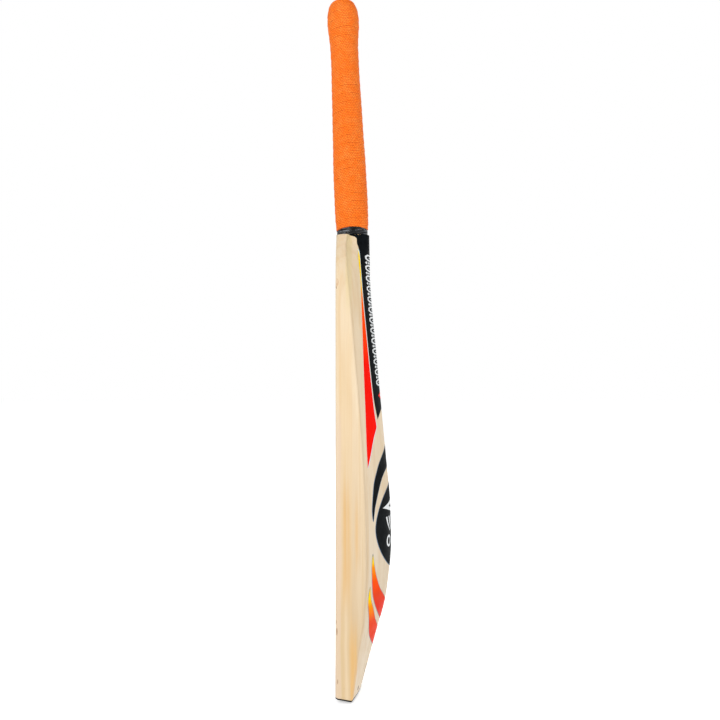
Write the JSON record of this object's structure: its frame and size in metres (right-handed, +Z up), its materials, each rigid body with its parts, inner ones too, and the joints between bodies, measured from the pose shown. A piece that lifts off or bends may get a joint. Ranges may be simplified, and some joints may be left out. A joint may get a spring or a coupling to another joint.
{
  "type": "cricket bat",
  "caption": "Adult short-handle cricket bat: willow blade with a high spine, spliced cane handle, rubber grip, toe guard and plain printed stickers.",
  "frame": {"origin": "middle of the flat underside of the toe", "axes": "+Z up the bat from the toe to the handle, +Y out of the back where the spine is, X across the blade"},
  "size_m": [0.108, 0.08, 0.8502],
  "materials": {
    "willow": "oiled and lightly polished, straight pale grain",
    "cane": "sanded, fine dark fibre ends",
    "spring_rubber": "matt",
    "twine": "waxed linen thread, close wound",
    "black_tape": "glossy electrical tape",
    "grip_rubber": "matt, finely textured in bands that wind up the handle",
    "toe_rubber": "satin",
    "black_print": "glossy printed film",
    "red_print": "glossy printed film, yellow running to red"
  },
  "bodies": {
    "root": {"blade": "willow", "toe_guard": "toe_rubber", "cane_front_left": "cane", "cane_front_middle": "cane", "cane_front_right": "cane", "cane_front_inner_left": "cane", "cane_front_inner_middle": "cane", "cane_front_inner_right": "cane", "cane_back_inner_left": "cane", "cane_back_inner_middle": "cane", "cane_back_inner_right": "cane", "cane_back_left": "cane", "cane_back_middle": "cane", "cane_back_right": "cane", "handle_spring_front": "spring_rubber", "handle_spring_middle": "spring_rubber", "handle_spring_back": "spring_rubber", "twine_binding": "twine", "grip_end_tape": "black_tape", "grip": "grip_rubber", "spine_label": "black_print", "spine_flame_left": "red_print", "spine_flame_right": "red_print", "arch_label": "black_print", "disc_label": "black_print", "swoosh_upper": "red_print", "swoosh_lower": "red_print"}
  },
  "joints": []
}
